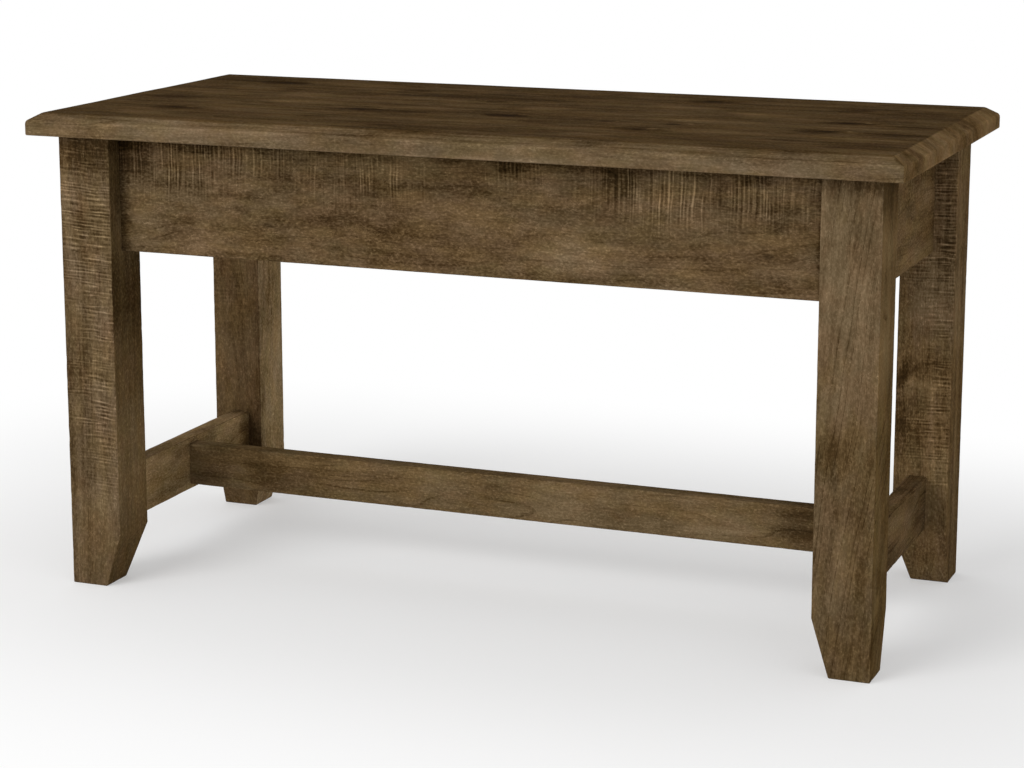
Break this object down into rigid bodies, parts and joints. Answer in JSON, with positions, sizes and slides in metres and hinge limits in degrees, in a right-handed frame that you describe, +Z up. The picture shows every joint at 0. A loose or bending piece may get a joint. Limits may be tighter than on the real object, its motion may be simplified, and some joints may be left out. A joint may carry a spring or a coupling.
{
  "type": "end-of-bed bench",
  "caption": "Solid wood bench with a bevelled seat, square legs with inward-tapered feet, deep aprons and an H-shaped stretcher.",
  "frame": {"origin": "on the floor under the middle of the seat", "axes": "+X along the seat to its right end, +Y towards its back, +Z up"},
  "size_m": [0.886, 0.418, 0.488],
  "materials": {
    "seat_wood": "dark weathered brown stain on solid hardwood, matt",
    "leg_wood": "weathered brown stain over rough-sawn hardwood, matt",
    "apron_wood": "weathered brown stain over rough-sawn hardwood, matt",
    "stretcher_wood": "weathered brown stain on solid hardwood, matt",
    "inner_wood": "bare planed hardwood",
    "screw_steel": "zinc plated"
  },
  "bodies": {
    "root": {"seat_board_front": "seat_wood", "seat_board_front_middle": "seat_wood", "seat_board_back_middle": "seat_wood", "seat_board_back": "seat_wood", "leg_front_left": "leg_wood", "leg_front_right": "leg_wood", "leg_back_left": "leg_wood", "leg_back_right": "leg_wood", "apron_front": "apron_wood", "apron_back": "apron_wood", "apron_left": "apron_wood", "apron_right": "apron_wood", "end_stretcher_left": "stretcher_wood", "end_stretcher_right": "stretcher_wood", "long_stretcher": "stretcher_wood", "corner_block_front_left": "inner_wood", "corner_block_front_right": "inner_wood", "corner_block_back_left": "inner_wood", "corner_block_back_right": "inner_wood", "cross_rail": "inner_wood", "apron_screws": "screw_steel", "block_seat_screws": "screw_steel", "rail_seat_screws": "screw_steel"}
  },
  "joints": []
}
